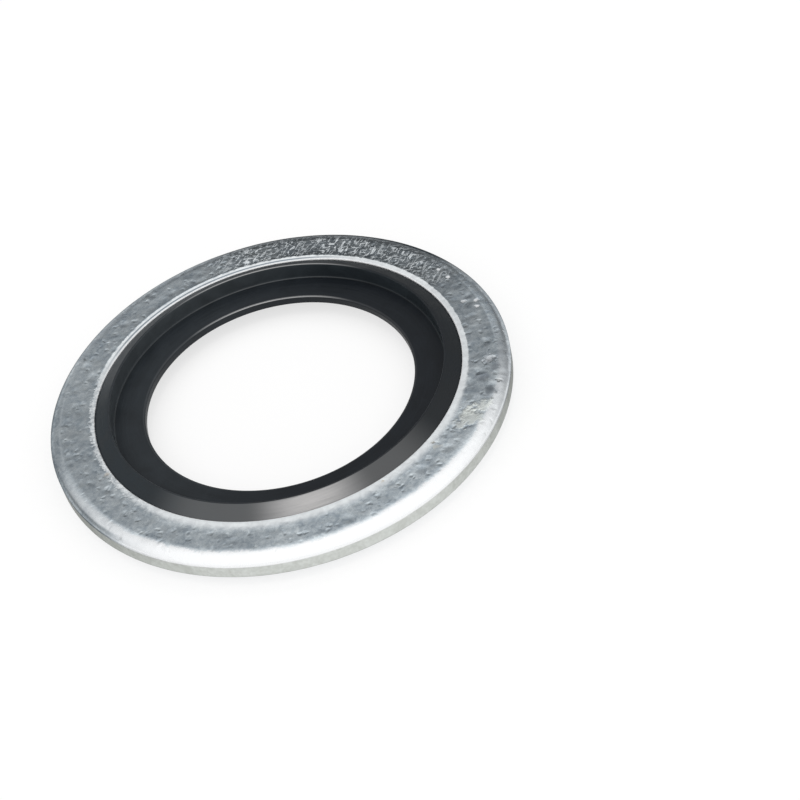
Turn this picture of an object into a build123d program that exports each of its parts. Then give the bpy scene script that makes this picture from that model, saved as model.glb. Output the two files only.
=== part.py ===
"""Self-centring bonded sealing washer for a G 3/8 thread, in millimetres.

A flat steel ring carries a moulded rubber seal in its bore. The seal is a bead that
stands proud of both faces of the ring, and a thin centring membrane at mid-thickness.
The washer lies flat, with its axis along +Z. The origin is on that axis, in the plane
that the crest of the lower bead touches.
"""

import os

from build123d import *

# Rubber seal, from the axis outwards
lip_bore = 14.1             # opening in the membrane, under the root of the thread it grips
membrane_width = 1.65       # radial reach of the membrane, from its lip to the bead
membrane_thickness = 0.45
lip_edge_radius = 0.05      # moulded rounding of the lip's two edges
root_radius = 0.08          # fillet where the membrane runs into the bead
bead_width = 0.87           # radial, from the bead's inner wall to the steel
bead_height = 0.39          # how far each crest stands over the face of the ring
crest_width = 0.08          # narrow flat on each crest
crest_radius = 0.03         # rounding on each side of that flat

# Steel ring
ring_width = 2.43           # radial, from the bore to the outer edge
ring_thickness = 1.5
rim_radius = 0.44           # tumbled rounding of the two outer edges
land_width = 0.42           # burnished land beside the bore, pressed by the mould's shut-off
land_depth = 0.045          # how far the land lies under the face
bore_edge_radius = 0.06     # rounding of the bore's two edges

# Radii and heights that follow from the sizes above; heights count from mid-thickness
lip_radius = lip_bore / 2
bead_bore_radius = lip_radius + membrane_width
ring_bore_radius = bead_bore_radius + bead_width
outer_radius = ring_bore_radius + ring_width
face_height = ring_thickness / 2
land_height = face_height - land_depth
crest_height = face_height + bead_height

# The section plane holds the axis: its X is the radius, and its Y the height over mid-thickness
section_plane = Plane(origin=(0, 0, crest_height), x_dir=(1, 0, 0), z_dir=(0, -1, 0))


def mirrored_outline(upper):
    """Close an outline over mid-thickness with its mirror image below, going back."""
    lower = [(radius, -height) for radius, height in reversed(upper)]
    return upper + lower


def corners_at(sketch, radius, height):
    """The two corners of a section at a radius, over and under mid-thickness."""
    at_radius = sketch.vertices().filter_by_position(Axis.X, radius - 0.001, radius + 0.001)
    return at_radius.filter_by(lambda corner: abs(abs(corner.Y) - height) < 0.001)


# Steel ring: flat faces, tumbled outer edges, and a burnished land beside the bore
ring_outline = [
    (ring_bore_radius, land_height),
    (ring_bore_radius + land_width, land_height),
    (ring_bore_radius + land_width, face_height),
    (outer_radius, face_height),
]

with BuildPart() as metal_ring:
    with BuildSketch(section_plane) as ring_section:
        with BuildLine():
            Polyline(mirrored_outline(ring_outline), close=True)
        make_face()
        fillet(corners_at(ring_section.sketch_local, outer_radius, face_height), rim_radius)
        fillet(corners_at(ring_section.sketch_local, ring_bore_radius, land_height), bore_edge_radius)
    revolve(axis=Axis.Z)

metal_ring.part.label = "metal_ring"

# Rubber seal: the flank of each bead rises straight from the bore's rounded edge to the crest,
# the bead's inner wall is upright, and the membrane spans from it to the lip
flank_foot_height = land_height - bore_edge_radius
seal_outline = [
    (lip_radius, membrane_thickness / 2),
    (bead_bore_radius, membrane_thickness / 2),
    (bead_bore_radius, crest_height),
    (bead_bore_radius + crest_width, crest_height),
    (ring_bore_radius, flank_foot_height),
]

with BuildPart() as rubber_seal:
    with BuildSketch(section_plane) as seal_section:
        with BuildLine():
            Polyline(mirrored_outline(seal_outline), close=True)
        make_face()
        section = seal_section.sketch_local
        fillet(corners_at(section, lip_radius, membrane_thickness / 2), lip_edge_radius)
        section = seal_section.sketch_local
        fillet(corners_at(section, bead_bore_radius, membrane_thickness / 2), root_radius)
        section = seal_section.sketch_local
        fillet(corners_at(section, bead_bore_radius, crest_height), crest_radius)
        section = seal_section.sketch_local
        fillet(corners_at(section, bead_bore_radius + crest_width, crest_height), crest_radius)
    revolve(axis=Axis.Z)

rubber_seal.part.label = "rubber_seal"

os.makedirs("parts", exist_ok=True)
for piece in (metal_ring.part, rubber_seal.part):
    export_step(piece, f"parts/{piece.label}.step")
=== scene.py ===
"""Dresses the self-centring bonded sealing washer: a tumbled zinc-plated steel ring, and the
moulded black rubber seal that is bonded into its bore.

Sizes inside the classes are in millimetres, with heights counted from the washer's
mid-thickness. Meshes are made in metres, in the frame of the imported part.
"""

import logging
import math
from dataclasses import dataclass

import bpy
import numpy as np
from mathutils import Matrix, Vector


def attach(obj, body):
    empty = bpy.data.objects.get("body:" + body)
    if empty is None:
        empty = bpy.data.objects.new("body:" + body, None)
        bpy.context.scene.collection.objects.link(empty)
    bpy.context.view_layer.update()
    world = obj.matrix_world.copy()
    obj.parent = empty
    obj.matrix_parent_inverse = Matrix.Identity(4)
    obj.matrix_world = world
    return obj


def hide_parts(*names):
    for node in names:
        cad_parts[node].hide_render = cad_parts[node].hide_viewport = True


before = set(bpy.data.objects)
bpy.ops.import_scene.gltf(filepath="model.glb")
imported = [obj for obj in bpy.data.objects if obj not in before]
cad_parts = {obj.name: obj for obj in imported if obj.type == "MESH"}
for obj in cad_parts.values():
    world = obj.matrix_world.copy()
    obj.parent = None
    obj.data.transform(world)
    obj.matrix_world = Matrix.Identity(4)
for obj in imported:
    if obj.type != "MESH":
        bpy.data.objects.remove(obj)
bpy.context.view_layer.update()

log = logging.getLogger("bonded_washer")

MM = 0.001

Point = tuple[float, float]
Span = tuple[float, float]
Colour = tuple[float, float, float]
Socket = bpy.types.NodeSocket

WHITE: Colour = (1.0, 1.0, 1.0)
BLACK: Colour = (0.0, 0.0, 0.0)


# ---------------------------------------------------------------------------------------------
# Sections and surfaces


def smooth_step(values: np.ndarray, low: float, high: float) -> np.ndarray:
    """Rise from 0 at low to 1 at high along the cubic 3t^2 - 2t^3."""
    t = np.clip((values - low) / (high - low), 0.0, 1.0)
    return t * t * (3.0 - 2.0 * t)


def straight(start: Point, end: Point, count: int) -> np.ndarray:
    """Points (radius, height) along a straight run from start to end, without its last point."""
    t = np.linspace(0.0, 1.0, count, endpoint=False)[:, None]
    return (1.0 - t) * np.array(start) + t * np.array(end)


def arc(centre: Point, radius: float, first: float, last: float, count: int) -> np.ndarray:
    """Points centre + radius * (cos a, sin a) from a = first to last degrees, without the last."""
    angles = np.radians(np.linspace(first, last, count, endpoint=False))
    return np.array(centre) + radius * np.stack([np.cos(angles), np.sin(angles)], axis=1)


def bulged(start: Point, end: Point, bulge: float, count: int) -> np.ndarray:
    """Points along a run that bows outwards from its chord, without its last point.

    The point at share t of the chord is moved by bulge * 4t(1 - t) to the chord's left.

    Args:
        start: First (radius, height).
        end: Last (radius, height), left for the next run to give.
        bulge: How far the middle stands off the chord.
        count: How many points to return.

    Returns:
        An array of count rows of (radius, height).
    """
    t = np.linspace(0.0, 1.0, count, endpoint=False)[:, None]
    chord = np.array(end) - np.array(start)
    left = np.array([-chord[1], chord[0]]) / np.linalg.norm(chord)
    return np.array(start) + t * chord + 4.0 * t * (1.0 - t) * bulge * left


def mirrored(upper: np.ndarray) -> np.ndarray:
    """Close a section with its mirror image below; its first point, at height 0, stays single."""
    lower = upper[:0:-1] * np.array([1.0, -1.0])
    return np.concatenate([upper, lower])


def turned(section: np.ndarray, turns: int) -> np.ndarray:
    """Carry a section round the axis.

    The point of row i and angle a is (r_i sin a, -r_i cos a, h_i).

    Args:
        section: Rows of (radius, height) round a closed loop.
        turns: How many copies of the section stand round the axis.

    Returns:
        An array of shape (turns, rows, 3).
    """
    angle = np.linspace(0.0, 2.0 * np.pi, turns, endpoint=False)[:, None]
    radius = section[None, :, 0]
    height = np.broadcast_to(section[None, :, 1], (turns, len(section)))
    return np.stack([radius * np.sin(angle), -radius * np.cos(angle), height], axis=2)


def ripples(points: np.ndarray, seed: int, shortest: float, longest: float, waves: int) -> np.ndarray:
    """A gentle random waviness: the sum of many cosines with random directions and phases.

    Wave i adds cos(k_i . p + f_i), with its length drawn evenly between the limits.

    Args:
        points: Points of shape (..., 3) in millimetres.
        seed: Seed of the random draws.
        shortest: Shortest wavelength.
        longest: Longest wavelength.
        waves: How many waves are added.

    Returns:
        The waviness at each point, of about unit spread.
    """
    draw = np.random.default_rng(seed)
    total = np.zeros(points.shape[:-1])
    for _ in range(waves):
        direction = draw.normal(size=3)
        direction /= np.linalg.norm(direction)
        pitch = draw.uniform(shortest, longest)
        phase = draw.uniform(0.0, 2.0 * np.pi)
        total += np.cos(points @ (direction * 2.0 * np.pi / pitch) + phase)
    return total * math.sqrt(2.0 / waves)


def closed_grid_mesh(name: str, grid: np.ndarray, lift: float) -> bpy.types.Object:
    """Make a mesh object from a grid of points that closes on itself both ways.

    Quad (i, j) joins points (i, j), (i, j+1), (i+1, j+1) and (i+1, j), with both indices
    counted round, so the surface is a ring with no seam. Its faces point outwards.

    Args:
        name: The object's name.
        grid: Points of shape (turns, rows, 3) in millimetres.
        lift: Height added to every point, in millimetres.

    Returns:
        The new object, linked to the scene, at the origin.
    """
    turns, rows, _ = grid.shape
    index = np.arange(turns * rows).reshape(turns, rows)
    ahead = np.roll(index, -1, axis=0)
    quads = np.stack([index, np.roll(index, -1, axis=1), np.roll(ahead, -1, axis=1), ahead], axis=2)
    points = (grid + np.array([0.0, 0.0, lift])) * MM

    mesh = bpy.data.meshes.new(name)
    mesh.vertices.add(points.size // 3)
    mesh.vertices.foreach_set("co", points.astype(np.float32).ravel())
    mesh.loops.add(quads.size)
    mesh.loops.foreach_set("vertex_index", quads.astype(np.int32).ravel())
    mesh.polygons.add(quads.size // 4)
    mesh.polygons.foreach_set("loop_start", np.arange(0, quads.size, 4, dtype=np.int32))
    mesh.update(calc_edges=True)
    mesh.validate()
    mesh.shade_smooth()
    piece = bpy.data.objects.new(name, mesh)
    bpy.context.scene.collection.objects.link(piece)
    return piece


# ---------------------------------------------------------------------------------------------
# Shader graphs


class Graph:
    """Short calls that add nodes to one node tree and wire them."""

    def __init__(self, tree: bpy.types.NodeTree) -> None:
        """Start on a node tree; place is what its effects are laid over."""
        self.tree = tree
        self.place: Socket | None = None

    def feed(self, socket: Socket, value: object) -> None:
        """Give an input a value, or a wire if the value is another node's output.

        Args:
            socket: The input.
            value: A number, a tuple or an output socket.
        """
        if isinstance(value, Socket):
            self.tree.links.new(value, socket)
        elif socket.type == "RGBA":
            socket.default_value = (*value, 1.0)
        else:
            socket.default_value = value

    def add(self, kind: str, inputs: dict | None = None, **settings: object) -> bpy.types.Node:
        """Add one node.

        Args:
            kind: Blender's name of the node's class.
            inputs: What each named or numbered input gets.
            **settings: The node's own properties.

        Returns:
            The new node.
        """
        node = self.tree.nodes.new(kind)
        for name, value in settings.items():
            setattr(node, name, value)
        for key, value in (inputs or {}).items():
            self.feed(node.inputs[key], value)
        return node

    def sum(self, *parts: tuple[object, float]) -> Socket:
        """Add up parts, each times its own weight.

        Args:
            *parts: Pairs of a value and its weight.

        Returns:
            The weighted sum.
        """
        total = 0.0
        for value, weight in parts:
            inputs = {0: value, 1: weight, 2: total}
            total = self.add("ShaderNodeMath", inputs, operation="MULTIPLY_ADD").outputs[0]
        return total

    def times(self, first: object, second: object) -> Socket:
        """Multiply two values."""
        return self.add("ShaderNodeMath", {0: first, 1: second}, operation="MULTIPLY").outputs[0]

    def clamped(self, value: object) -> Socket:
        """Hold a value between 0 and 1."""
        return self.add("ShaderNodeClamp", {0: value}).outputs[0]

    def centred(self, noise: Socket) -> Socket:
        """Take 0.5 off a noise, so that it swings about 0."""
        return self.sum((noise, 1.0), (0.5, -1.0))

    def contrasted(self, noise: Socket, contrast: Socket) -> Socket:
        """Push a noise away from its middle: 0.5 + contrast * (noise - 0.5), held in 0 to 1."""
        pushed = self.times(self.centred(noise), contrast)
        return self.clamped(self.sum((pushed, 1.0), (0.5, 1.0)))

    def vector(self, how: str, *vectors: object) -> Socket:
        """Work out a vector from one or two, by the name of Blender's operation."""
        return self.add("ShaderNodeVectorMath", dict(enumerate(vectors)), operation=how).outputs[0]

    def number(self, how: str, *vectors: object) -> Socket:
        """Work out a number from one or two vectors, by the name of Blender's operation."""
        node = self.add("ShaderNodeVectorMath", dict(enumerate(vectors)), operation=how)
        return node.outputs["Value"]

    def joined(self, *numbers: object) -> Socket:
        """Join three numbers into a vector."""
        return self.add("ShaderNodeCombineXYZ", dict(enumerate(numbers))).outputs[0]

    def grey(self, shade: Socket) -> Socket:
        """Make a grey of one shade."""
        return self.add("ShaderNodeCombineColor", {0: shade, 1: shade, 2: shade}).outputs[0]

    def flat(self, place: Socket) -> Socket:
        """Drop a place onto the plane across the axis."""
        return self.vector("MULTIPLY", place, (1.0, 1.0, 0.0))

    def spun(self, place: Socket, angle: object) -> Socket:
        """Turn a place about the axis."""
        inputs = {"Vector": place, "Angle": angle}
        return self.add("ShaderNodeVectorRotate", inputs, rotation_type="Z_AXIS").outputs[0]

    def ease(
        self, value: object, low: object, high: object, start: object = 0.0, end: object = 1.0
    ) -> Socket:
        """Map a value smoothly from low..high to start..end, and hold it outside."""
        inputs = {"Value": value, "From Min": low, "From Max": high, "To Min": start, "To Max": end}
        return self.add("ShaderNodeMapRange", inputs, interpolation_type="SMOOTHSTEP").outputs[0]

    def lerp(self, share: object, first: object, second: object) -> Socket:
        """Mix two values by the share of the second."""
        return self.add("ShaderNodeMix", {0: share, 2: first, 3: second}, data_type="FLOAT").outputs[0]

    def scaled(self, value: object, mask: Socket, factor: float) -> Socket:
        """Multiply a value by a factor where a mask is 1."""
        return self.times(value, self.lerp(mask, 1.0, factor))

    def blend(self, share: object, first: object, second: object, how: str = "MIX") -> Socket:
        """Mix two colours by the share of the second, and by the name of Blender's blend."""
        inputs = {0: share, 6: first, 7: second}
        return self.add("ShaderNodeMix", inputs, data_type="RGBA", blend_type=how).outputs[2]

    def effect(self, tree: bpy.types.NodeTree, **inputs: object) -> Socket:
        """Lay a shared effect over the graph's place; its inputs go by names in small letters."""
        named = {"Place": self.place, **{name.capitalize(): value for name, value in inputs.items()}}
        return self.add("ShaderNodeGroup", named, node_tree=tree).outputs["Mask"]


def new_effect(name: str, numbers: dict[str, float]) -> tuple[Graph, dict[str, Socket], Socket]:
    """Start a shader node group with a Place vector, named numbers and one Mask output.

    Args:
        name: The group's name.
        numbers: Each number's name and default.

    Returns:
        The group's graph, its inputs by name and the socket that its mask goes into.
    """
    tree = bpy.data.node_groups.new(name, "ShaderNodeTree")
    tree.interface.new_socket("Place", in_out="INPUT", socket_type="NodeSocketVector")
    for label, default in numbers.items():
        socket = tree.interface.new_socket(label, in_out="INPUT", socket_type="NodeSocketFloat")
        socket.default_value = default
    tree.interface.new_socket("Mask", in_out="OUTPUT", socket_type="NodeSocketFloat")
    graph = Graph(tree)
    given = graph.add("NodeGroupInput")
    result = graph.add("NodeGroupOutput")
    return graph, {label: given.outputs[label] for label in ("Place", *numbers)}, result.inputs["Mask"]


def mottle_effect() -> bpy.types.NodeTree:
    """Soft cloudy patches: noise, pushed away from its middle by Contrast.

    Returns:
        The node group.
    """
    numbers = {"Scale": 1.0, "Detail": 3.0, "Twist": 0.5, "Contrast": 2.0}
    graph, given, mask = new_effect("mottle", numbers)
    inputs = {"Vector": given["Place"], "Scale": given["Scale"], "Detail": given["Detail"]}
    noise = graph.add("ShaderNodeTexNoise", {**inputs, "Distortion": given["Twist"]})
    graph.feed(mask, graph.contrasted(noise.outputs[0], given["Contrast"]))
    return graph.tree


def brushed_effect() -> bpy.types.NodeTree:
    """Streaks that run round the axis: noise over (Round x, Round y, Across r) on the unit circle.

    Returns:
        The node group.
    """
    graph, given, mask = new_effect("brushed", {"Round": 2.0, "Across": 6.0, "Contrast": 2.0})
    flat = graph.flat(given["Place"])
    unit = graph.vector("NORMALIZE", flat)
    length = graph.number("LENGTH", flat)
    spread = graph.joined(given["Round"], given["Round"], 0.0)
    around = graph.vector("MULTIPLY", unit, spread)
    across = graph.joined(0.0, 0.0, graph.times(length, given["Across"]))
    inputs = {"Vector": graph.vector("ADD", around, across), "Scale": 1.0}
    noise = graph.add("ShaderNodeTexNoise", inputs)
    graph.feed(mask, graph.contrasted(noise.outputs[0], given["Contrast"]))
    return graph.tree


def pits_effect() -> bpy.types.NodeTree:
    """Scattered pits of uneven outline, each deepest in its middle.

    Place is first moved about by noise. In the Voronoi cells whose random value is under
    Spread, the mask is then 1 - distance / Size, held between 0 and 1 and eased.

    Returns:
        The node group.
    """
    numbers = {"Scale": 3.0, "Size": 0.3, "Spread": 0.5, "Wander": 0.1}
    graph, given, mask = new_effect("pits", numbers)
    inputs = {"Vector": given["Place"], "Scale": given["Scale"]}
    noise = graph.add("ShaderNodeTexNoise", {**inputs, "Detail": 1.0})
    centred = graph.vector("SUBTRACT", noise.outputs["Color"], (0.5, 0.5, 0.5))
    shift = graph.add("ShaderNodeVectorMath", {0: centred, "Scale": given["Wander"]}, operation="SCALE")
    moved = graph.vector("ADD", given["Place"], shift.outputs[0])
    cells = graph.add("ShaderNodeTexVoronoi", {"Vector": moved, "Scale": given["Scale"]})
    depth = graph.ease(cells.outputs["Distance"], given["Size"], 0.0)
    pick = graph.add("ShaderNodeSeparateColor", {0: cells.outputs["Color"]})
    kept = graph.add("ShaderNodeMath", {0: pick.outputs[0], 1: given["Spread"]}, operation="LESS_THAN")
    graph.feed(mask, graph.times(depth, kept.outputs[0]))
    return graph.tree


def strokes_effect() -> bpy.types.NodeTree:
    """Short straight strokes that run along the direction Turn.

    The place is turned by -Turn, multiplied by (Along, Across, 1) and given to noise. The mask
    rises smoothly from 0 where the noise is Low to 1 where it is Low plus the blur.

    Returns:
        The node group.
    """
    numbers = {"Turn": 0.0, "Along": 1.5, "Across": 6.0, "Low": 0.56}
    graph, given, mask = new_effect("strokes", numbers)
    blur = 0.08
    spun = graph.spun(given["Place"], graph.times(given["Turn"], -1.0))
    place = graph.vector("MULTIPLY", spun, graph.joined(given["Along"], given["Across"], 1.0))
    inputs = {"Vector": place, "Scale": 1.0, "Detail": 1.0, "Distortion": 0.7}
    noise = graph.add("ShaderNodeTexNoise", inputs).outputs[0]
    graph.feed(mask, graph.ease(noise, given["Low"], graph.sum((given["Low"], 1.0), (blur, 1.0))))
    return graph.tree


def sector_effect() -> bpy.types.NodeTree:
    """A soft-edged sector round the axis, centred on the direction Turn.

    With c the cosine of the angle between the place and the centre line, the mask rises
    smoothly from 0 at c = Outer to 1 at c = Inner.

    Returns:
        The node group.
    """
    graph, given, mask = new_effect("sector", {"Turn": 0.0, "Outer": 0.5, "Inner": 0.9})
    spun = graph.spun(given["Place"], graph.times(given["Turn"], -1.0))
    unit = graph.vector("NORMALIZE", graph.flat(spun))
    along = graph.number("DOT_PRODUCT", unit, (0.0, -1.0, 0.0))
    graph.feed(mask, graph.ease(along, given["Outer"], given["Inner"]))
    return graph.tree


def band_effect() -> bpy.types.NodeTree:
    """A soft-edged band round the axis, between the radii Low and High.

    Returns:
        The node group.
    """
    graph, given, mask = new_effect("band", {"Low": 0.0, "High": 1.0, "Blur": 0.1})
    radius = graph.number("LENGTH", graph.flat(given["Place"]))
    inside = graph.sum((given["Low"], 1.0), (given["Blur"], 1.0))
    outside = graph.sum((given["High"], 1.0), (given["Blur"], -1.0))
    rise = graph.ease(radius, given["Low"], inside)
    graph.feed(mask, graph.times(rise, graph.ease(radius, given["High"], outside)))
    return graph.tree


def spot_effect() -> bpy.types.NodeTree:
    """One smudge of uneven outline, centred at Radius and Turn on either face.

    With d the distance from its centre, moved by noise times Wander, the mask rises smoothly
    from 0 at d = Size to 1 in its core.

    Returns:
        The node group.
    """
    graph, given, mask = new_effect("spot", {"Turn": 0.0, "Radius": 10.0, "Size": 0.3, "Wander": 0.3})
    core = 0.2
    middle = graph.joined(0.0, graph.times(given["Radius"], -1.0), 0.0)
    centre = graph.spun(middle, given["Turn"])
    noise = graph.add("ShaderNodeTexNoise", {"Vector": given["Place"], "Scale": 4.0, "Detail": 3.0})
    away = graph.number("DISTANCE", graph.flat(given["Place"]), centre)
    swing = graph.times(graph.centred(noise.outputs[0]), given["Wander"])
    uneven = graph.sum((away, 1.0), (swing, 1.0))
    graph.feed(mask, graph.ease(uneven, given["Size"], graph.times(given["Size"], core)))
    return graph.tree


@dataclass(frozen=True)
class Effects:
    """The shared shader effects, built once and placed in each material with its own values."""

    mottle: bpy.types.NodeTree
    brushed: bpy.types.NodeTree
    pits: bpy.types.NodeTree
    strokes: bpy.types.NodeTree
    sector: bpy.types.NodeTree
    band: bpy.types.NodeTree
    spot: bpy.types.NodeTree

    @classmethod
    def built(cls) -> "Effects":
        """Build the node groups."""
        return cls(
            mottle=mottle_effect(),
            brushed=brushed_effect(),
            pits=pits_effect(),
            strokes=strokes_effect(),
            sector=sector_effect(),
            band=band_effect(),
            spot=spot_effect(),
        )


def new_material(name: str) -> tuple[bpy.types.Material, Graph, bpy.types.Node]:
    """Start a material with its Principled shader.

    Args:
        name: The material's name.

    Returns:
        The material, its graph and the shader node.
    """
    material = bpy.data.materials.new(name)
    material.use_nodes = True
    return material, Graph(material.node_tree), material.node_tree.nodes["Principled BSDF"]


def place_in_mm(graph: Graph) -> Socket:
    """Give the Object coordinates in millimetres."""
    coordinates = graph.add("ShaderNodeTexCoord").outputs["Object"]
    return graph.add("ShaderNodeMapping", {"Vector": coordinates, "Scale": (1.0 / MM,) * 3}).outputs[0]


# ---------------------------------------------------------------------------------------------
# Finishes


@dataclass(frozen=True)
class Sector:
    """A soft-edged sector of the washer: its middle in degrees, and the cosines where it fades."""

    turn: float
    outer: float
    inner: float

    def mask(self, graph: Graph, effects: Effects) -> Socket:
        """Lay the sector over a material."""
        turn = math.radians(self.turn)
        return graph.effect(effects.sector, turn=turn, outer=self.outer, inner=self.inner)


@dataclass(frozen=True)
class Mark:
    """One handling mark on the plate: a smudge of its own tone, sunk or raised, chalky or not."""

    turn: float
    radius: float
    size: float
    tone: Colour
    share: float
    height: float = 0.0
    chalk: float = 0.0
    raggedness: float = 2.5

    def mask(self, graph: Graph, effects: Effects) -> Socket:
        """Lay the mark over a material."""
        place = {"turn": math.radians(self.turn), "radius": self.radius}
        return graph.effect(effects.spot, **place, size=self.size, wander=self.size * self.raggedness)


@dataclass(frozen=True)
class PaintedRimLight(Sector):
    """A stretch of the rolled rim with painted shade or painted highlight: its reach inwards, its shade
    and its shine.

    It ends inset inside the outer edge, or beyond the edge where inset is below zero.
    """

    width: float
    shade: float
    shine: float
    inset: float = -1.0


@dataclass(frozen=True)
class PlateMasks:
    """The masks of the zinc plate: its cloudiness, its sectors, several of them for painted light and
    shade, and its frosted and worn places.
    """

    clouds: Socket
    flecks: Socket
    specks: Socket
    grain: Socket
    etched: Socket
    shaded: Socket
    lit: Socket
    left: Socket
    front: Socket
    far: Socket
    land: Socket
    burnished: Socket
    wall: Socket
    strokes: Socket
    bite: Socket


@dataclass(frozen=True)
class ZincPlate:
    """Tumbled zinc plate: mottled blue-grey, burnished on the roll, frosted on the land, with painted
    light and shade round the ring.
    """

    bore_radius: float
    outer_radius: float
    mid_height: float
    tone: Colour = (0.63, 0.685, 0.715)
    dull_tone: Colour = (0.30, 0.35, 0.395)
    burnished_tone: Colour = (0.95, 0.96, 0.97)
    wall_tone: Colour = (0.70, 0.725, 0.70)
    dull_wall_tone: Colour = (0.53, 0.55, 0.52)
    land_tone: Colour = (0.88, 0.92, 0.94)
    dull_land_tone: Colour = (0.76, 0.79, 0.81)
    # Pale tone of the strokes: the glint of scratches, painted in
    stroke_glint_tone: Colour = (0.90, 0.95, 0.98)
    edge_tint: Colour = (0.25, 0.25, 0.25)
    roughness: float = 0.24
    land_roughness: float = 0.50
    wall_roughness: float = 0.38
    wall_height: float = 0.24
    burnish_width: float = 0.70
    land_width: float = 0.42
    # How much further the land's pale tone reaches at the front: a painted highlight
    front_highlight_width: float = 0.32
    frost: float = 0.36
    front_frost: float = 0.16
    back_frost: float = 0.34
    etched_frost: float = 0.36
    # Gains on the colour in the front, lit, left and shaded sectors: painted light and painted shade
    front_painted_light: float = 1.08
    painted_light_gain: float = 1.17
    left_painted_light: float = 1.20
    painted_shade_gain: float = 0.54
    # How strongly the burnished rim's pale tone shows at the front and at the back: a painted highlight
    # at the front
    front_painted_shine: float = 0.98
    back_painted_shine: float = 0.15
    stroke_glint_share: float = 0.9
    stroke_chalk: float = 0.5
    groove_frost: float = 0.2
    groove_middle: float = 0.17
    groove_width: float = 0.14
    edge_line_width: float = 0.07
    stroke_turn: float = math.radians(49.0)
    cross_stroke_turn: float = math.radians(-25.0)
    wave_height: float = 0.030
    bubble_depth: float = 0.020
    dent_depth: float = 0.013
    etched_grain_height: float = 0.026
    etched_dent_depth: float = 0.022
    stroke_height: float = 0.014
    bore_overlap: float = 0.3
    edge_overlap: float = 1.0
    # Shares of clouds, flecks and specks in how worn the plate is, and what is taken off them
    worn_shares: tuple[float, float, float] = (0.40, 0.30, 0.35)
    worn_offset: float = 0.05
    worn_range: Span = (0.2, 0.9)
    roughness_swing: float = 0.05
    land_inset: float = 0.12
    land_fade: float = 0.06
    front_highlight_fade: float = 0.07
    burnish_inset: float = 0.10
    burnish_fade: float = 0.24
    wall_reach: float = 0.14
    wall_fade: float = 0.04
    # Distances of the strokes from the land's border and from the outer edge
    stroke_margins: Span = (0.4, 0.3)
    plain_bite: float = 0.12
    bare_bite: float = 0.55
    land_calm: float = 0.25
    wall_calm: float = 0.15
    rim_calm: float = 0.60
    # Sectors round the ring; shaded, lit and left carry only painted shade and painted light, and front
    # carries them too
    etched: Sector = Sector(turn=149.0, outer=0.66, inner=0.90)
    shaded: Sector = Sector(turn=148.0, outer=0.64, inner=0.93)
    lit: Sector = Sector(turn=25.0, outer=0.70, inner=0.95)
    left: Sector = Sector(turn=-148.0, outer=0.60, inner=0.90)
    front: Sector = Sector(turn=0.0, outer=0.10, inner=0.90)
    far: Sector = Sector(turn=-168.0, outer=0.62, inner=0.90)
    scuffed: Sector = Sector(turn=-84.0, outer=0.75, inner=0.95)
    # Painted shade and painted highlights on stretches of the rolled rim
    painted_rim_lights: tuple[PaintedRimLight, ...] = (
        PaintedRimLight(turn=151.0, outer=0.78, inner=0.87, width=0.42, shade=0.48, shine=0.0),
        PaintedRimLight(turn=102.0, outer=0.90, inner=0.985, width=0.78, shade=1.65, shine=0.0, inset=0.26),
        PaintedRimLight(turn=-72.0, outer=0.92, inner=0.985, width=0.24, shade=0.60, shine=0.0),
        PaintedRimLight(turn=-100.0, outer=0.92, inner=0.98, width=0.60, shade=0.88, shine=0.0),
        PaintedRimLight(turn=-62.0, outer=0.90, inner=0.98, width=0.78, shade=1.22, shine=1.0),
    )
    marks: tuple[Mark, ...] = (
        Mark(51.0, 10.80, 0.90, (0.78, 0.82, 0.79), 0.75, 0.008, 0.20),
        Mark(55.5, 11.15, 0.60, (0.82, 0.86, 0.83), 0.80, 0.010, 0.30),
        Mark(53.0, 10.55, 0.40, (0.82, 0.86, 0.82), 0.70, 0.006, 0.30),
        Mark(47.5, 10.50, 0.45, (0.76, 0.79, 0.77), 0.6, 0.004, 0.15),
        Mark(60.5, 11.20, 0.50, (0.24, 0.27, 0.30), 0.75),
        Mark(65.5, 10.70, 0.45, (0.27, 0.30, 0.34), 0.65),
        Mark(58.0, 10.35, 0.30, (0.30, 0.34, 0.36), 0.55),
        Mark(69.5, 11.30, 0.35, (0.29, 0.32, 0.35), 0.60),
        Mark(38.0, 10.25, 0.30, (0.69, 0.69, 0.64), 0.6),
        Mark(39.0, 9.95, 0.16, (0.36, 0.34, 0.29), 0.8, -0.012),
        Mark(20.0, 9.80, 0.14, (0.60, 0.55, 0.46), 0.7, -0.006),
        Mark(-73.0, 9.85, 0.20, (0.60, 0.56, 0.50), 0.7, -0.006),
        Mark(64.7, 11.55, 0.16, (0.50, 0.52, 0.52), 0.6, -0.02),
        Mark(72.5, 10.90, 0.42, (0.84, 0.87, 0.90), 0.7, -0.02),
        Mark(94.3, 11.05, 0.17, (0.90, 0.92, 0.94), 1.0, -0.012, 0.5),
        Mark(96.8, 11.20, 0.15, (0.90, 0.92, 0.94), 0.9, -0.012, 0.5),
        Mark(98.3, 10.62, 0.18, (0.88, 0.90, 0.92), 0.8, -0.010, 0.4),
        Mark(110.0, 10.95, 0.17, (0.90, 0.92, 0.94), 1.0, -0.012, 0.5),
        Mark(115.0, 11.00, 0.14, (0.90, 0.92, 0.94), 0.9, -0.012, 0.4),
    )

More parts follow.
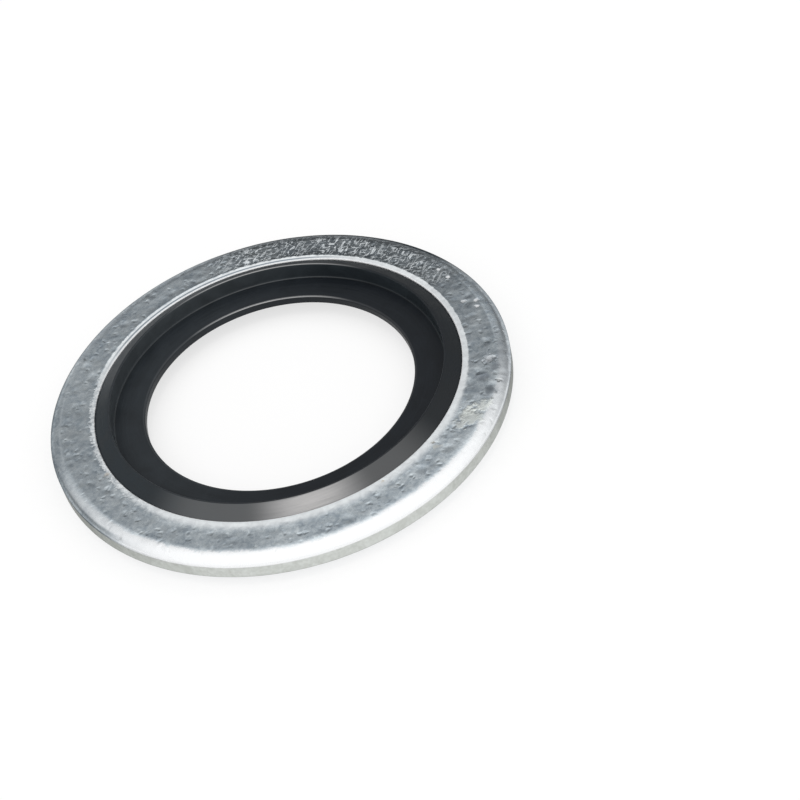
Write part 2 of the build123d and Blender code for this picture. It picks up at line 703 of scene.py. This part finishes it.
    def masks(self, graph: Graph, effects: Effects) -> PlateMasks:
        """Lay the plate's masks.

        Args:
            graph: The material's graph.
            effects: The shared shader effects.

        Returns:
            The masks.
        """
        clouds = graph.effect(effects.mottle, scale=0.8, detail=3.0, twist=0.8, contrast=4.0)
        flecks = graph.effect(effects.mottle, scale=2.6, detail=4.0, twist=0.8, contrast=3.5)
        specks = graph.effect(effects.mottle, scale=6.0, detail=2.0, twist=0.5, contrast=4.0)
        sectors = (self.etched, self.shaded, self.lit, self.left, self.front, self.far)
        etched, shaded, lit, left, front, far = (sector.mask(graph, effects) for sector in sectors)
        grain = graph.effect(effects.mottle, scale=4.5, detail=2.0, twist=0.6, contrast=1.0)
        land = self.land_mask(graph, effects, front, (flecks, specks, grain))
        rim = self.outer_radius - self.burnish_width - self.burnish_inset
        rim = graph.sum((rim, 1.0), (clouds, 0.12), (specks, 0.08))
        beyond = self.outer_radius + self.edge_overlap
        burnished = graph.effect(effects.band, low=rim, high=beyond, blur=self.burnish_fade)
        wall = self.wall_mask(graph, effects)
        strokes, bite = self.stroke_masks(graph, effects, etched)
        return PlateMasks(
            clouds=clouds, flecks=flecks, specks=specks, grain=grain,
            etched=etched, shaded=shaded, lit=lit, left=left, front=front, far=far,
            land=land, burnished=burnished, wall=wall, strokes=strokes, bite=bite,
        )

    def land_mask(
        self, graph: Graph, effects: Effects, front: Socket, patches: tuple[Socket, Socket, Socket]
    ) -> Socket:
        """Lay the frosted land: ragged at the back, scuffed left, and at the front widened and faded
        over the face as a painted highlight.

        Args:
            graph: The material's graph.
            effects: The shared shader effects.
            front: The mask of the front.
            patches: The flecks, the specks and the grain that fray its border.

        Returns:
            The mask.
        """
        flecks, specks, grain = patches
        border = self.bore_radius + self.land_width
        scuffed = self.scuffed.mask(graph, effects)
        frayed = (flecks, 0.04), (grain, 0.07)
        # At the front the land's pale tone reaches further out and fades wider: a painted highlight
        ragged = graph.sum((border - self.land_inset, 1.0), *frayed, (front, self.front_highlight_width))
        ragged = graph.sum((ragged, 1.0), (scuffed, -0.10), (graph.times(scuffed, specks), 0.16))
        faded = self.front_highlight_width + self.front_highlight_fade
        fade = graph.sum((self.land_fade, 1.0), (front, faded), (scuffed, 0.10))
        inner = self.bore_radius - self.bore_overlap
        land = graph.effect(effects.band, low=inner, high=ragged, blur=fade)
        scuffs = graph.effect(effects.mottle, scale=4.5, detail=2.0, twist=0.5, contrast=6.0)
        return graph.scaled(land, graph.times(scuffed, scuffs), 0.5)

    def wall_mask(self, graph: Graph, effects: Effects) -> Socket:
        """Lay the outer wall, which ends wall_height over mid-thickness.

        Args:
            graph: The material's graph.
            effects: The shared shader effects.

        Returns:
            The mask.
        """
        height = graph.add("ShaderNodeSeparateXYZ", {0: graph.place}).outputs[2]
        beyond = self.outer_radius + self.edge_overlap
        edge = self.outer_radius - self.wall_reach
        at_edge = graph.effect(effects.band, low=edge, high=beyond, blur=0.05)
        top = self.mid_height + self.wall_height
        return graph.times(graph.ease(height, top + self.wall_fade, top - self.wall_fade), at_edge)

    def stroke_masks(self, graph: Graph, effects: Effects, etched: Socket) -> tuple[Socket, Socket]:
        """Lay the strokes of the etched stretch, in two directions and in clumps: scratches whose pale
        glint is painted in.

        Args:
            graph: The material's graph.
            effects: The shared shader effects.
            etched: The mask of the etched stretch.

        Returns:
            The strokes, and how deep the etching bites.
        """
        turn, cross = self.stroke_turn, self.cross_stroke_turn
        slashes = graph.effect(effects.strokes, turn=turn, along=2.3, across=8.0, low=0.565)
        crosses = graph.effect(effects.strokes, turn=cross, along=3.2, across=8.0, low=0.58)
        clump = graph.effect(effects.mottle, scale=0.9, detail=2.0, twist=0.0, contrast=5.0)
        bite = graph.lerp(etched, self.plain_bite, 1.0)
        bite = graph.times(bite, graph.lerp(clump, self.bare_bite, 1.0))
        inner, outer = self.stroke_margins
        low, high = self.bore_radius + self.land_width - inner, self.outer_radius - outer
        near = graph.effect(effects.band, low=low, high=high, blur=0.6)
        lines = graph.clamped(graph.sum((slashes, 1.0), (crosses, 0.9)))
        return graph.times(lines, graph.times(graph.times(etched, bite), near)), bite

    def shades(self, graph: Graph, effects: Effects, masks: PlateMasks) -> tuple[Socket, Socket]:
        """Work out the painted shade and light round the plate, and the painted shine of the rim.

        Args:
            graph: The material's graph.
            effects: The shared shader effects.
            masks: The plate's masks.

        Returns:
            The painted shade and light that multiply the colour, and the painted shine of the burnished
            rim.
        """
        shade = graph.lerp(masks.shaded, 1.0, self.painted_shade_gain)
        shade = graph.scaled(shade, masks.front, self.front_painted_light)
        shade = graph.scaled(shade, masks.lit, self.painted_light_gain)
        shade = graph.scaled(shade, masks.left, self.left_painted_light)
        shine = 1.0
        # Each rim stretch multiplies in painted shade or light, and scales the rim's painted shine
        for stretch in self.painted_rim_lights:
            low, high = self.outer_radius - stretch.width, self.outer_radius - stretch.inset
            ring = graph.effect(effects.band, low=low, high=high, blur=0.12)
            there = graph.times(ring, stretch.mask(graph, effects))
            shade = graph.scaled(shade, there, stretch.shade)
            shine = graph.scaled(shine, there, stretch.shine)
        return shade, shine

    def colour(
        self, graph: Graph, effects: Effects, masks: PlateMasks, worn: Socket
    ) -> tuple[Socket, Socket]:
        """Work out the plate's colour without its marks.

        Args:
            graph: The material's graph.
            effects: The shared shader effects.
            masks: The plate's masks.
            worn: How worn the plate is.

        Returns:
            The colour, and the mask of the groove in the far side's land, which carries painted shade.
        """
        shade, shine = self.shades(graph, effects, masks)
        colour = graph.blend(worn, self.dull_tone, self.tone)
        colour = graph.blend(1.0, colour, graph.grey(shade), "MULTIPLY")
        # The burnished roll is real; its pale tone showing strongly only at the front is a painted
        # highlight
        shine = graph.times(shine, graph.lerp(masks.front, self.back_painted_shine, self.front_painted_shine))
        colour = graph.blend(graph.times(masks.burnished, shine), colour, self.burnished_tone)
        # Strokes: real scratches, with their glint painted in as a pale tone
        colour = graph.blend(graph.times(masks.strokes, self.stroke_glint_share), colour, self.stroke_glint_tone)
        land_colour = graph.blend(masks.flecks, self.dull_land_tone, self.land_tone)
        low, high = self.bore_radius - self.bore_overlap, self.bore_radius + self.edge_line_width
        edge_line = graph.effect(effects.band, low=low, high=high, blur=0.03)
        land_colour = graph.blend(edge_line, land_colour, self.burnished_tone)
        colour = graph.blend(masks.land, colour, land_colour)
        # The groove in the far side's land is darkened with the dull tone: painted shade in the recess
        middle = self.bore_radius + self.groove_middle
        low, high = middle - self.groove_width / 2.0, middle + self.groove_width / 2.0
        groove = graph.times(graph.effect(effects.band, low=low, high=high, blur=0.05), masks.far)
        colour = graph.blend(groove, colour, self.dull_tone)
        wall_colour = graph.blend(worn, self.dull_wall_tone, self.wall_tone)
        return graph.blend(masks.wall, colour, wall_colour), groove

    def relief(self, graph: Graph, effects: Effects, masks: PlateMasks) -> Socket:
        """Work out the plate's fine relief, in millimetres, calmer on the land, wall and rim.

        Args:
            graph: The material's graph.
            effects: The shared shader effects.
            masks: The plate's masks.

        Returns:
            The height.
        """
        waves = graph.effect(effects.mottle, scale=1.0, detail=0.5, twist=0.8, contrast=1.0)
        bubbles = graph.effect(effects.pits, scale=1.25, size=0.5, spread=0.6, wander=0.35)
        dents = graph.effect(effects.pits, scale=2.2, size=0.45, spread=0.7, wander=0.45)
        fine = graph.sum((masks.grain, self.etched_grain_height), (dents, -self.etched_dent_depth))
        relief = graph.sum(
            (waves, self.wave_height),
            (bubbles, -self.bubble_depth),
            (graph.times(fine, masks.bite), 1.0),
            (masks.strokes, self.stroke_height),
        )
        relief = graph.sum((relief, 1.0), (dents, -self.dent_depth))
        calm = graph.scaled(graph.lerp(masks.land, 1.0, self.land_calm), masks.wall, self.wall_calm)
        return graph.times(relief, graph.scaled(calm, masks.burnished, self.rim_calm))

    def chalk(self, graph: Graph, masks: PlateMasks, groove: Socket) -> Socket:
        """Work out where frost and strokes make the plate chalky instead of metallic.

        Args:
            graph: The material's graph.
            masks: The plate's masks.
            groove: The mask of the groove in the far side's land.

        Returns:
            The chalkiness.
        """
        ends = (masks.front, self.front_frost), (masks.far, self.back_frost)
        frost = graph.sum((self.frost, 1.0), *ends)
        frost = graph.sum((frost, 1.0), (masks.etched, self.etched_frost))
        chalk = graph.scaled(graph.times(masks.land, frost), groove, self.groove_frost)
        return graph.sum((chalk, 1.0), (masks.strokes, self.stroke_chalk))

    def build(self, effects: Effects) -> bpy.types.Material:
        """Make the material.

        Args:
            effects: The shared shader effects.

        Returns:
            The material.
        """
        material, graph, shader = new_material("zinc_plate")
        graph.place = place_in_mm(graph)
        masks = self.masks(graph, effects)
        patches = zip((masks.clouds, masks.flecks, masks.specks), self.worn_shares)
        worn = graph.sum(*patches, (self.worn_offset, -1.0))
        colour, groove = self.colour(graph, effects, masks, worn)
        relief = self.relief(graph, effects, masks)
        chalk = self.chalk(graph, masks, groove)
        for mark in self.marks:
            spot = mark.mask(graph, effects)
            colour = graph.blend(graph.times(spot, mark.share), colour, mark.tone)
            relief = graph.sum((relief, 1.0), (spot, mark.height))
            chalk = graph.sum((chalk, 1.0), (spot, mark.chalk))

        graph.feed(shader.inputs["Base Color"], colour)
        graph.feed(shader.inputs["Metallic"], graph.clamped(graph.sum((1.0, 1.0), (chalk, -1.0))))
        graph.feed(shader.inputs["Specular Tint"], self.edge_tint)
        dull, bright = self.roughness + self.roughness_swing, self.roughness - self.roughness_swing
        face_roughness = graph.ease(worn, *self.worn_range, dull, bright)
        rough = graph.lerp(masks.land, face_roughness, self.land_roughness)
        graph.feed(shader.inputs["Roughness"], graph.lerp(masks.wall, rough, self.wall_roughness))
        bump = graph.add("ShaderNodeBump", {"Height": relief, "Strength": 1.0, "Distance": MM})
        graph.feed(shader.inputs["Normal"], bump.outputs[0])
        return material


@dataclass(frozen=True)
class MouldedRubber:
    """Moulded nitrile rubber: matt blue-black, polished on the bead's flank and the lip's edge, with
    painted light on one side and on the bead's wall, and painted shade at its root.
    """

    bead_radius: float
    crest_width: float
    bond_radius: float
    lip_radius: float
    tone: Colour = (0.010, 0.013, 0.017)
    # Lighter tones on the left side are painted light
    painted_light_tone: Colour = (0.021, 0.026, 0.031)
    # The bead's wall is paler than the rest: painted light
    wall_tone: Colour = (0.020, 0.026, 0.031)
    painted_light_wall_tone: Colour = (0.048, 0.056, 0.062)
    flank_tone: Colour = (0.008, 0.011, 0.014)
    painted_light_flank_tone: Colour = (0.014, 0.020, 0.025)
    roughness: float = 0.42
    flank_roughness: float = 0.62
    specular: float = 0.20
    polish_roughness: float = 0.32
    polish_index: float = 3.2
    flank_polish: float = 0.29
    rubbed_flank_polish: float = 0.60
    dull_flank_polish: float = 0.03
    side_polish: float = 0.17
    edge_polish: float = 0.75
    root_polish: float = 0.10
    lip_polish_width: float = 0.12
    flank_reach: float = 0.2
    shade_range: Span = (0.8, 1.2)
    # Where the bead's wall and its root lie, counted from the bead's radius
    wall_span: Span = (-0.06, 0.02)
    root_span: Span = (-0.10, -0.005)
    # How far the bead's root is blended to black away from the back: painted shade in the crease
    root_painted_shade: float = 0.25
    # How much polish streaks leave, and how much the crest and the lip have at the front
    streak_polish: Span = (0.85, 1.10)
    front_crest_polish: float = 0.02
    front_lip_polish: float = 0.13
    back_edge_polish: float = 1.3
    grain_height: float = 0.0015
    nib_height: float = 0.002
    streak_height: float = 0.006
    front: Sector = Sector(turn=-4.0, outer=0.62, inner=0.86)
    back: Sector = Sector(turn=173.0, outer=0.76, inner=0.97)
    side: Sector = Sector(turn=-142.0, outer=0.75, inner=0.95)
    painted_light_side: Sector = Sector(turn=-110.0, outer=-0.40, inner=0.70)
    rubbed: Sector = Sector(turn=-1.0, outer=0.925, inner=1.0)

    def build(self, effects: Effects) -> bpy.types.Material:
        """Make the material.

        Args:
            effects: The shared shader effects.

        Returns:
            The material.
        """
        material, graph, shader = new_material("black_rubber")
        graph.place = place_in_mm(graph)
        low, high = self.bead_radius, self.bead_radius + self.crest_width
        crest = graph.effect(effects.band, low=low, high=high, blur=0.015)
        low, high = high - 0.01, self.bond_radius + self.flank_reach
        flank = graph.effect(effects.band, low=low, high=high, blur=0.02)
        front = self.front.mask(graph, effects)
        back = self.back.mask(graph, effects)
        side = self.side.mask(graph, effects)
        low = self.lip_radius + 0.01
        lip = graph.effect(effects.band, low=low, high=low + self.lip_polish_width, blur=0.02)
        bloom = graph.effect(effects.mottle, scale=0.9, detail=4.0, twist=0.5, contrast=2.0)
        streaks = graph.effect(effects.brushed, round=3.0, across=7.0, contrast=2.0)
        shade = graph.ease(graph.sum((bloom, 0.6), (streaks, 0.4)), 0.0, 1.0, *self.shade_range)
        tint = graph.grey(shade)

        # Colour: painted light on the left side and on the bead's wall, painted shade at its root
        painted_light_side = self.painted_light_side.mask(graph, effects)
        colour = graph.blend(painted_light_side, self.tone, self.painted_light_tone)
        low, high = (self.bead_radius + offset for offset in self.wall_span)
        wall = graph.effect(effects.band, low=low, high=high, blur=0.015)
        colour = graph.blend(wall, colour, graph.blend(painted_light_side, self.wall_tone, self.painted_light_wall_tone))
        colour = graph.blend(flank, colour, graph.blend(painted_light_side, self.flank_tone, self.painted_light_flank_tone))
        low, high = (self.bead_radius + offset for offset in self.root_span)
        root = graph.effect(effects.band, low=low, high=high, blur=0.02)
        # Black at the bead's root except at the back: painted shade in the crease
        colour = graph.blend(graph.times(root, graph.lerp(back, self.root_painted_shade, 0.0)), colour, BLACK)
        graph.feed(shader.inputs["Base Color"], graph.blend(1.0, colour, tint, "MULTIPLY"))
        rough = graph.lerp(flank, self.roughness, self.flank_roughness)
        graph.feed(shader.inputs["Roughness"], graph.times(rough, shade))
        shader.inputs["Specular IOR Level"].default_value = self.specular

        # Polish: on the flank by sectors, and on the crest, the lip's edge and the root at the back
        rubbed = self.rubbed.mask(graph, effects)
        rubbed = graph.times(graph.times(rubbed, rubbed), graph.lerp(streaks, *self.streak_polish))
        share = graph.lerp(front, self.dull_flank_polish, self.flank_polish)
        share = graph.sum((share, 1.0), (side, self.side_polish), (rubbed, self.rubbed_flank_polish))
        crest = graph.times(crest, graph.lerp(back, self.front_crest_polish, self.back_edge_polish))
        lip = graph.times(lip, graph.lerp(back, self.front_lip_polish, self.back_edge_polish))
        edges = graph.sum((crest, 1.0), (lip, 1.0))
        polished = graph.sum(
            (graph.times(flank, share), 1.0),
            (edges, self.edge_polish),
            (graph.times(root, back), self.root_polish),
        )
        graph.feed(shader.inputs["Coat Weight"], graph.clamped(polished))
        shader.inputs["Coat Roughness"].default_value = self.polish_roughness
        shader.inputs["Coat IOR"].default_value = self.polish_index

        grain = graph.effect(effects.mottle, scale=9.0, detail=3.0, twist=0.0, contrast=1.0)
        nibs = graph.effect(effects.pits, scale=2.2, size=0.12, spread=0.2, wander=0.0)
        heights = (grain, self.grain_height), (nibs, self.nib_height), (streaks, self.streak_height)
        relief = graph.sum(*heights)
        bump = graph.add("ShaderNodeBump", {"Height": relief, "Strength": 1.0, "Distance": MM})
        graph.feed(shader.inputs["Normal"], bump.outputs[0])
        graph.feed(shader.inputs["Coat Normal"], bump.outputs[0])
        return material


# ---------------------------------------------------------------------------------------------
# Pieces


@dataclass
class MetalRing:
    """The steel ring: a flat annulus with rolled-over edges and a pressed land beside its bore."""

    bore_radius: float = 9.57
    width: float = 2.43
    thickness: float = 1.5
    roll_width: float = 0.88
    roll_slope: float = 54.0
    roll_growth: float = 1.65
    corner_radius: float = 0.09
    bore_edge_radius: float = 0.06
    ripple_depth: float = 0.010
    # Distances from the bore over which tumbling's ripples set in, and from the rim where they stop
    ripple_start: Span = (0.35, 0.65)
    ripple_end: float = 0.1
    back_turn: float = math.radians(18.0)
    # Cosines of the angle from back_turn between which the back's relief takes over
    back_fade: Span = (0.60, 0.84)
    # Height of the land's relief at each distance from the bore, at the front and at the back
    front_relief: tuple[Point, ...] = ((0.06, 0.022), (0.68, 0.0))
    back_relief: tuple[Point, ...] = (
        (0.06, -0.028),
        (0.11, -0.026),
        (0.15, -0.038),
        (0.19, -0.028),
        (0.37, 0.013),
        (0.44, 0.004),
        (0.48, 0.0),
    )
    turns: int = 600

    @property
    def outer_radius(self) -> float:
        """Radius of the outer edge."""
        return self.bore_radius + self.width

    def rolled_edge(self, count: int) -> np.ndarray:
        """The face's rolled edge, from flat to the steep end of its slope.

        The slope angle at share s of the run is roll_slope * s ^ roll_growth, and radius and
        height are its cosine and sine added up along the run.

        Args:
            count: How many points to return.

        Returns:
            Rows of (radius, height).
        """
        share = np.linspace(0.0, 1.0, count)
        slope = np.radians(self.roll_slope) * share**self.roll_growth
        middle = (slope[1:] + slope[:-1]) / 2.0
        across = np.concatenate([[0.0], np.cumsum(np.cos(middle))])
        down = np.concatenate([[0.0], np.cumsum(np.sin(middle))])
        reach = self.roll_width - self.corner_radius * (1.0 - math.sin(slope[-1]))
        scale = reach / across[-1]
        start = self.outer_radius - self.roll_width
        return np.stack([start + scale * across, self.thickness / 2.0 - scale * down], axis=1)

    def section(self) -> np.ndarray:
        """The ring's section: bore wall, bore edge, land, face, rolled rim, mirrored.

        Returns:
            Rows of (radius, height) round the closed loop.
        """
        face = self.thickness / 2.0
        edge = self.bore_edge_radius
        inner = self.bore_radius + edge
        land_end = self.bore_radius + self.front_relief[-1][0]
        roll = self.rolled_edge(count=26)
        last_height = roll[-1][1]
        corner = self.corner_radius
        steep = 90.0 - self.roll_slope
        drop = corner * math.sin(math.radians(steep))
        upper = np.concatenate(
            [
                straight((self.bore_radius, 0.0), (self.bore_radius, face - edge), count=3),
                arc((inner, face - edge), edge, 180.0, 90.0, count=6),
                straight((inner, face), (land_end, face), count=31),
                straight((land_end, face), tuple(roll[0]), count=9),
                roll[:-1],
                arc((self.outer_radius - corner, last_height - drop), corner, steep, 0.0, count=5),
                straight((self.outer_radius, last_height - drop), (self.outer_radius, 0.0), count=3),
            ]
        )
        return mirrored(upper)

    def relief(self, grid: np.ndarray) -> np.ndarray:
        """The height that tumbling and the land's pressing add to each point of the faces.

        The land's relief is the front one and the back one, mixed by how far round a point
        stands. Tumbling only ever lowers the face, by up to ripple_depth.

        Args:
            grid: Points of shape (turns, rows, 3).

        Returns:
            The outward height at each point.
        """
        radius = np.hypot(grid[..., 0], grid[..., 1])
        beside = radius - self.bore_radius
        front = np.interp(beside, *zip(*self.front_relief))
        back = np.interp(beside, *zip(*self.back_relief))
        back_y, back_x = math.cos(self.back_turn), math.sin(self.back_turn)
        behind = smooth_step((back_y * grid[..., 1] - back_x * grid[..., 0]) / radius, *self.back_fade)
        wave = 0.5 + 0.5 * np.tanh(ripples(grid, seed=11, shortest=1.2, longest=4.5, waves=48))
        on_face = smooth_step(beside, *self.ripple_start)
        on_face *= 1.0 - smooth_step(radius, self.outer_radius - self.ripple_end, self.outer_radius)
        return (1.0 - behind) * front + behind * back - self.ripple_depth * wave * on_face

    def build(self, mid_height: float, finish: bpy.types.Material) -> bpy.types.Object:
        """Make the ring.

        Args:
            mid_height: Height of mid-thickness over the origin.
            finish: The zinc plate.

        Returns:
            The finished object.
        """
        grid = turned(self.section(), self.turns)
        face_start = self.thickness / 2.0 - self.bore_edge_radius
        near_face = np.clip(np.abs(grid[..., 2]) / face_start, 0.0, 1.0)
        grid[..., 2] += np.sign(grid[..., 2]) * self.relief(grid) * near_face
        piece = closed_grid_mesh("steel_ring", grid, mid_height)
        piece.data.materials.append(finish)
        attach(piece, "root")
        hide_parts("metal_ring")
        log.info("steel ring: %d points", len(piece.data.vertices))
        return piece


@dataclass
class RubberSeal:
    """The rubber seal: a bead proud of both faces, and a thin membrane that centres the washer."""

    lip_radius: float = 7.05
    membrane_width: float = 1.65
    membrane_thickness: float = 0.45
    lip_edge_radius: float = 0.08
    root_radius: float = 0.08
    bead_height: float = 0.39
    crest_width: float = 0.09
    crest_radius: float = 0.05
    flank_bulge: float = 0.02
    foot_overlap: float = 0.02
    foot_depth: float = 0.075
    turns: int = 720

    @property
    def bead_bore_radius(self) -> float:
        """Radius of the bead's inner wall."""
        return self.lip_radius + self.membrane_width

    def section(self, ring: MetalRing) -> np.ndarray:
        """The seal's section: lip, membrane, root fillet, bead wall, crest and flank, mirrored.

        Args:
            ring: The ring that the seal is bonded into.

        Returns:
            Rows of (radius, height) round the closed loop.
        """
        half = self.membrane_thickness / 2.0
        crest = ring.thickness / 2.0 + self.bead_height
        lip, root, top = self.lip_edge_radius, self.root_radius, self.crest_radius
        wall = self.bead_bore_radius
        foot = (ring.bore_radius + self.foot_overlap, ring.thickness / 2.0 - self.foot_depth)
        under = (ring.bore_radius, ring.thickness / 2.0 - 2.0 * self.foot_depth)
        upper = np.concatenate(
            [
                straight((self.lip_radius, 0.0), (self.lip_radius, half - lip), count=2),
                arc((self.lip_radius + lip, half - lip), lip, 180.0, 90.0, count=6),
                straight((self.lip_radius + lip, half), (wall - root, half), count=14),
                arc((wall - root, half + root), root, -90.0, 0.0, count=7),
                straight((wall, half + root), (wall, crest - top), count=9),
                arc((wall + top, crest - top), top, 180.0, 90.0, count=6),
                straight((wall + top, crest), (wall + self.crest_width, crest), count=2),
                bulged((wall + self.crest_width, crest), foot, self.flank_bulge, count=18),
                straight(foot, under, count=2),
                straight(under, (ring.bore_radius, 0.0), count=2),
            ]
        )
        return mirrored(upper)

    def build(self, ring: MetalRing, mid_height: float, finish: bpy.types.Material) -> bpy.types.Object:
        """Make the seal.

        Args:
            ring: The ring that the seal is bonded into.
            mid_height: Height of mid-thickness over the origin.
            finish: The moulded rubber.

        Returns:
            The finished object.
        """
        grid = turned(self.section(ring), self.turns)
        piece = closed_grid_mesh("moulded_seal", grid, mid_height)
        piece.data.materials.append(finish)
        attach(piece, "root")
        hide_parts("rubber_seal")
        log.info("moulded seal: %d points", len(piece.data.vertices))
        return piece


# ---------------------------------------------------------------------------------------------
# Studio


@dataclass(frozen=True)
class CameraStand:
    """The camera: where it stands and what it looks at, in millimetres, and its roll."""

    place: tuple[float, float, float] = (0.0, -69.31, 62.28)
    aim: tuple[float, float, float] = (5.58, -3.38, 1.14)
    roll: float = math.radians(-14.506)
    lens: float = 81.0
    sensor: float = 36.0
    nearest: float = 1.0
    farthest: float = 1.0e5

    def build(self) -> bpy.types.Object:
        """Make the camera and hand it to the scene.

        Returns:
            The camera object.
        """
        data = bpy.data.cameras.new("camera")
        data.lens = self.lens
        data.sensor_width = self.sensor
        data.clip_start = self.nearest * MM
        data.clip_end = self.farthest * MM
        sight = Vector(self.aim) - Vector(self.place)
        level = sight.to_track_quat("-Z", "Y").to_matrix()
        turn = (level @ Matrix.Rotation(self.roll, 3, "Z")).to_4x4()
        camera = bpy.data.objects.new("camera", data)
        camera.matrix_world = Matrix.Translation(Vector(self.place) * MM) @ turn
        bpy.context.scene.collection.objects.link(camera)
        bpy.context.scene.camera = camera
        return camera


@dataclass(frozen=True)
class Studio:
    """A pale floor under a broad soft light from the front and above, and one small warm lamp."""

    light_from: tuple[float, float, float] = (0.0, -0.643, 0.766)
    brightness: float = 1.0
    # The surroundings rise smoothly from dark to bright between these cosines of the angle from
    # light_from
    dark_cosine: float = -0.35
    bright_cosine: float = 0.55
    dark_radiance: float = 0.12
    bright_radiance: float = 1.06
    horizon_low: float = 0.10
    horizon_high: float = 0.28
    side_from: tuple[float, float, float] = (-0.45, 0.85, 0.28)
    side_spread: float = 0.88
    side_radiance: float = 0.42
    lamp_from: tuple[float, float, float] = (-0.03, -0.26, 0.965)
    lamp_distance: float = 600.0
    lamp_length: float = 230.0
    lamp_width: float = 130.0
    lamp_spin: float = math.radians(45.0)
    lamp_radiance: float = 3.0
    lamp_colour: Colour = (1.0, 0.955, 0.93)
    floor_size: float = 3000.0
    floor_tone: float = 0.34
    floor_glow: float = 0.68
    floor_roughness: float = 0.9
    floor_specular: float = 0.1

    def world(self) -> None:
        """Light the scene from all round, brightest about light_from, with a pale horizon.

        Behind the floor the camera sees plain white.
        """
        world = bpy.data.worlds.new("soft_studio")
        bpy.context.scene.world = world
        world.use_nodes = True
        graph = Graph(world.node_tree)
        direction = graph.add("ShaderNodeTexCoord").outputs["Generated"]
        middle = tuple(Vector(self.light_from).normalized())
        towards = graph.number("DOT_PRODUCT", direction, middle)
        cosines = (self.dark_cosine, self.bright_cosine)
        radiances = (self.dark_radiance, self.bright_radiance)
        glow = graph.ease(towards, *cosines, *radiances)
        unit = tuple(Vector(self.side_from).normalized())
        near = graph.number("DOT_PRODUCT", direction, unit)
        patch = graph.ease(near, self.side_spread, 1.0, 0.0, self.side_radiance)
        total = graph.vector("ADD", glow, patch)
        height = graph.add("ShaderNodeSeparateXYZ", {0: direction}).outputs[2]
        total = graph.blend(graph.ease(height, self.horizon_high, self.horizon_low), total, WHITE)
        total = graph.blend(graph.add("ShaderNodeLightPath").outputs["Is Camera Ray"], total, WHITE)
        background = world.node_tree.nodes["Background"]
        graph.feed(background.inputs["Color"], total)
        background.inputs["Strength"].default_value = self.brightness

    def lamp(self) -> None:
        """Hang a long warm lamp whose face shows lamp_radiance, spun about its own axis."""
        data = bpy.data.lights.new("warm_lamp", "AREA")
        data.shape = "ELLIPSE"
        data.size = self.lamp_length * MM
        data.size_y = self.lamp_width * MM
        area = math.pi * data.size * data.size_y / 4.0
        data.energy = self.lamp_radiance * math.pi * area
        data.color = self.lamp_colour
        lamp = bpy.data.objects.new("warm_lamp", data)
        away = Vector(self.lamp_from).normalized()
        spin = Matrix.Rotation(self.lamp_spin, 4, "Z")
        turn = away.to_track_quat("Z", "Y").to_matrix().to_4x4() @ spin
        lamp.matrix_world = Matrix.Translation(away * self.lamp_distance * MM) @ turn
        bpy.context.scene.collection.objects.link(lamp)

    def floor(self) -> None:
        """Lay a large pale floor under the washer."""
        half = self.floor_size * MM / 2.0
        corners = [(-half, -half, 0.0), (half, -half, 0.0), (half, half, 0.0), (-half, half, 0.0)]
        mesh = bpy.data.meshes.new("floor")
        mesh.from_pydata(corners, [], [(0, 1, 2, 3)])
        sheet = bpy.data.objects.new("floor", mesh)
        bpy.context.scene.collection.objects.link(sheet)
        material, graph, shader = new_material("pale_floor")
        graph.feed(shader.inputs["Base Color"], (self.floor_tone,) * 3)
        shader.inputs["Roughness"].default_value = self.floor_roughness
        shader.inputs["Specular IOR Level"].default_value = self.floor_specular
        path = graph.add("ShaderNodeLightPath")
        rays = ("Is Camera Ray", "Is Glossy Ray", "Is Transmission Ray")
        seen = graph.sum(*((path.outputs[ray], 1.0) for ray in rays))
        graph.feed(shader.inputs["Emission Color"], WHITE)
        graph.feed(shader.inputs["Emission Strength"], graph.times(seen, self.floor_glow))
        mesh.materials.append(material)

    def build(self) -> None:
        """Set up the light and the floor."""
        self.world()
        self.lamp()
        self.floor()


def main() -> None:
    logging.basicConfig(level=logging.INFO, format="%(message)s")
    bpy.context.scene.view_settings.view_transform = "Standard"
    ring = MetalRing()
    seal = RubberSeal()
    mid_height = ring.thickness / 2.0 + seal.bead_height
    effects = Effects.built()
    zinc = ZincPlate(ring.bore_radius, ring.outer_radius, mid_height)
    rubber = MouldedRubber(
        bead_radius=seal.bead_bore_radius,
        crest_width=seal.crest_width,
        bond_radius=ring.bore_radius,
        lip_radius=seal.lip_radius,
    )
    ring.build(mid_height, zinc.build(effects))
    seal.build(ring, mid_height, rubber.build(effects))
    Studio().build()
    CameraStand().build()


if __name__ == "__main__":
    main()
